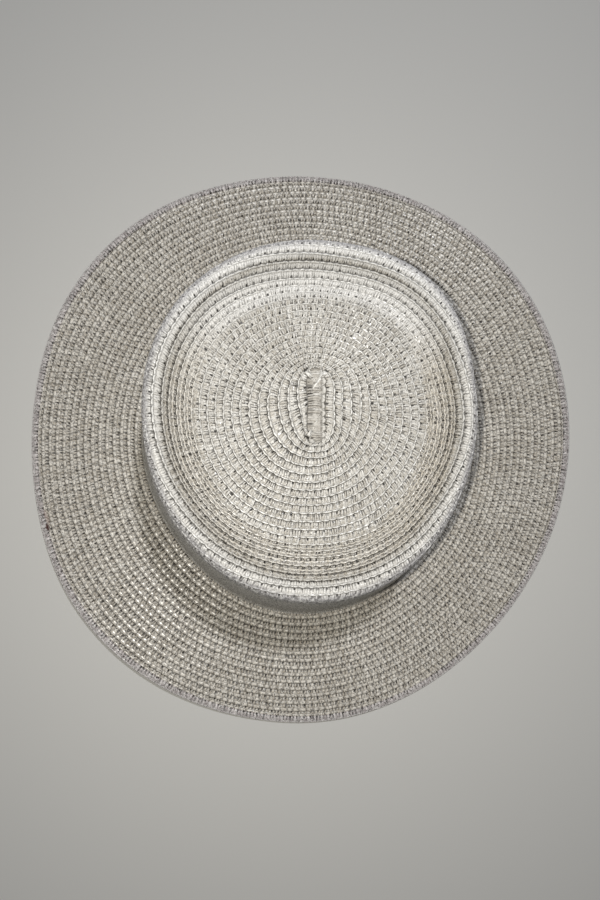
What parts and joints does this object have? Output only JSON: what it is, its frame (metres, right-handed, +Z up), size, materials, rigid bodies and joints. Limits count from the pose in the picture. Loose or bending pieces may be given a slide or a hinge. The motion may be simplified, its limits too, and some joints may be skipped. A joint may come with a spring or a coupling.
{
  "type": "straw hat",
  "caption": "Wide-brimmed sun hat of sewn straw braid: low domed tip inside a raised rounded ridge, tapered open crown, softly wavy round brim",
  "frame": {"origin": "Under the middle of the hat's outline, on the surface that the brim rests on", "axes": "+Z is up through the crown, -Y is the front of the hat, +X is to the right when the hat is seen from the front"},
  "size_m": [0.316, 0.3226, 0.079],
  "materials": {
    "crown_braid": "sewn straw braid with a satin sheen, pale cream",
    "brim_braid": "sewn straw braid with a satin sheen, greige",
    "edge_braid": "doubled straw braid with a satin sheen, grey beige"
  },
  "bodies": {
    "root": {"crown": "crown_braid", "brim": "brim_braid", "brim_edge": "edge_braid"}
  },
  "joints": []
}
